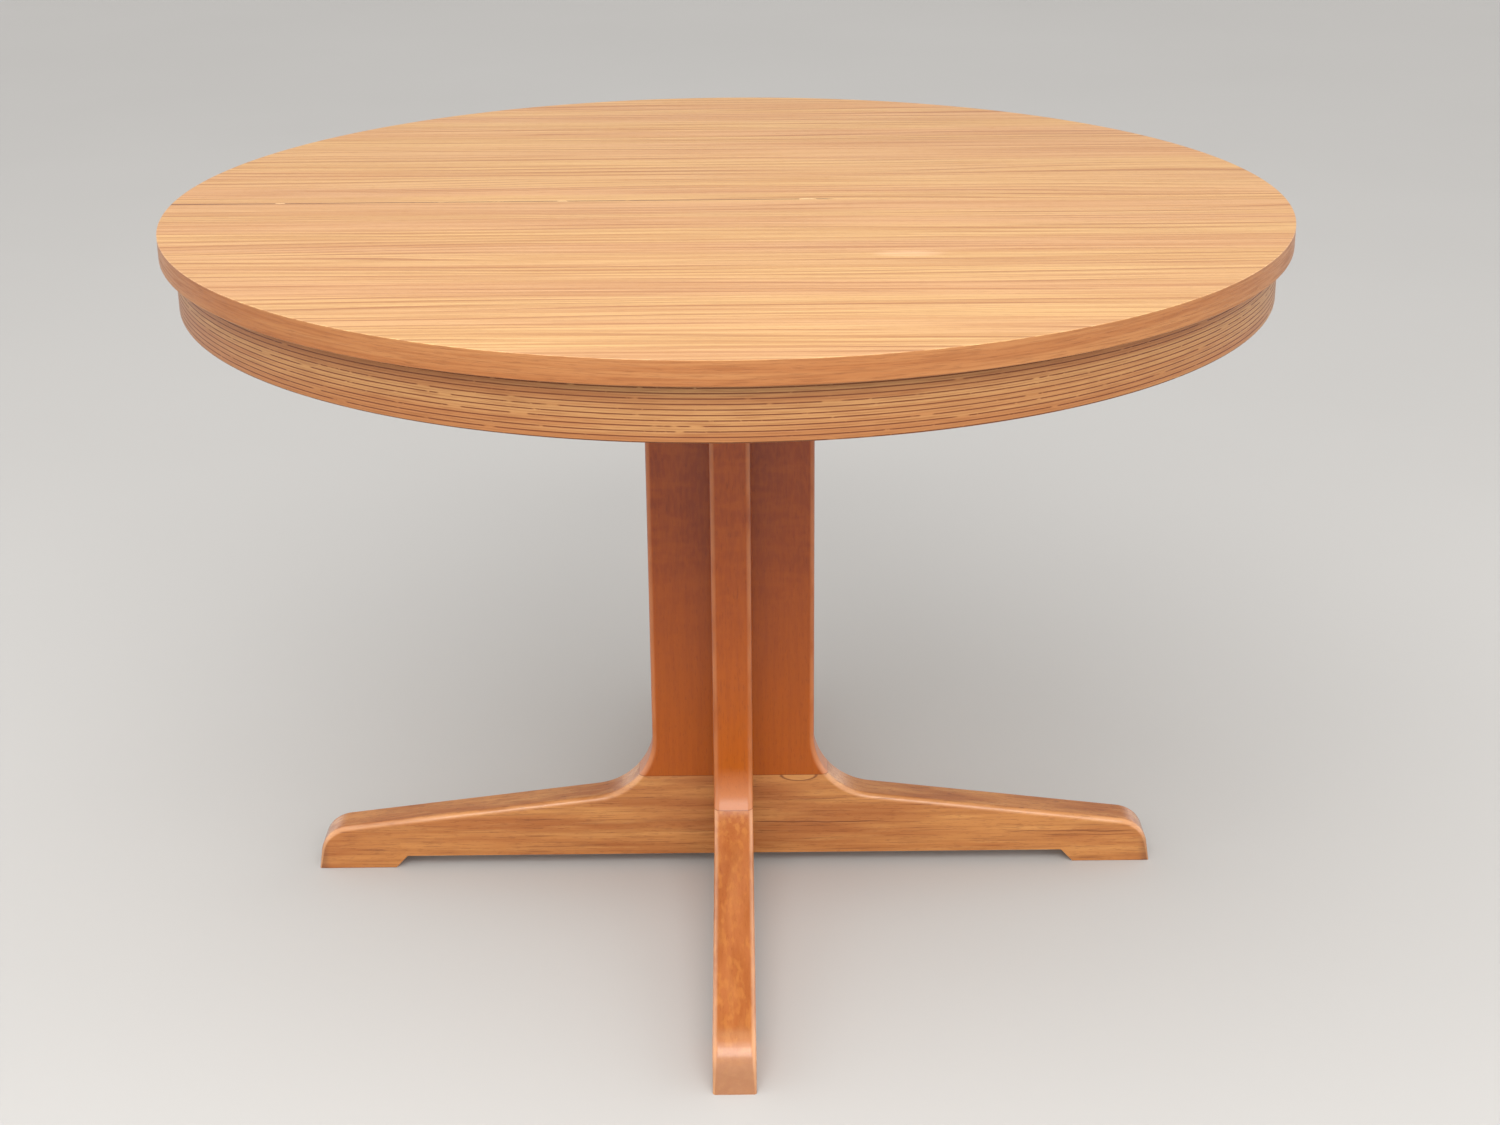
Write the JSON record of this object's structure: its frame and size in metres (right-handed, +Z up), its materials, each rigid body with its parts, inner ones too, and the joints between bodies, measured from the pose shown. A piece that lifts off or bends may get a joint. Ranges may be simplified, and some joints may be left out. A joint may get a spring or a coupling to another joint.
{
  "type": "round pedestal table",
  "caption": "Round dining table on a cross-shaped pedestal with spreading feet, with an apron and a split top whose halves slide apart for a leaf.",
  "frame": {"origin": "on the floor, under the middle of the table", "axes": "+Z up; the halves of the top slide apart along Y, the front half towards -Y; the seam between them runs along X"},
  "size_m": [1.1, 1.0998, 0.735],
  "materials": {
    "oak_veneer": "satin lacquered oak veneer, straight grain along X",
    "oak_edge_band": "satin lacquered solid oak, grain round the edge",
    "oak_apron": "satin lacquered open-grained oak, grain round the apron",
    "pedestal_board": "satin lacquered red-brown wood, grain vertical",
    "pedestal_foot": "satin lacquered brown wood, grain along the foot",
    "bare_beech": "planed beech with no lacquer",
    "chipboard": "pressed wood chips",
    "screw_steel": "plain steel"
  },
  "bodies": {
    "pedestal": {"core_post": "pedestal_board", "left_board": "pedestal_board", "right_board": "pedestal_board", "front_board": "pedestal_board", "back_board": "pedestal_board", "left_foot": "pedestal_foot", "right_foot": "pedestal_foot", "front_foot": "pedestal_foot", "back_foot": "pedestal_foot", "core_dowels": "bare_beech", "foot_dowels": "bare_beech", "board_dowels": "bare_beech", "head_plate": "bare_beech", "head_screws": "screw_steel", "front_bearer": "bare_beech", "back_bearer": "bare_beech", "bearer_screws": "screw_steel", "left_rail": "bare_beech", "right_rail": "bare_beech", "rail_screws": "screw_steel", "stop_pins": "screw_steel"},
    "front_half": {"front_panel": "chipboard", "front_edge_band": "oak_edge_band", "front_veneer": "oak_veneer", "front_apron": "oak_apron", "front_glue_blocks": "bare_beech", "front_left_runner": "bare_beech", "front_right_runner": "bare_beech", "front_runner_screws": "screw_steel", "seam_dowels": "bare_beech"},
    "back_half": {"back_panel": "chipboard", "back_edge_band": "oak_edge_band", "back_veneer": "oak_veneer", "back_apron": "oak_apron", "back_glue_blocks": "bare_beech", "back_left_runner": "bare_beech", "back_right_runner": "bare_beech", "back_runner_screws": "screw_steel"}
  },
  "joints": [
    {"name": "front_half_slide", "type": "slide", "parent": "pedestal", "child": "front_half", "axis": [0, -1, 0], "range_m": [0, 0.26]},
    {"name": "back_half_slide", "type": "slide", "parent": "pedestal", "child": "back_half", "axis": [0, 1, 0], "range_m": [0, 0.26]}
  ]
}
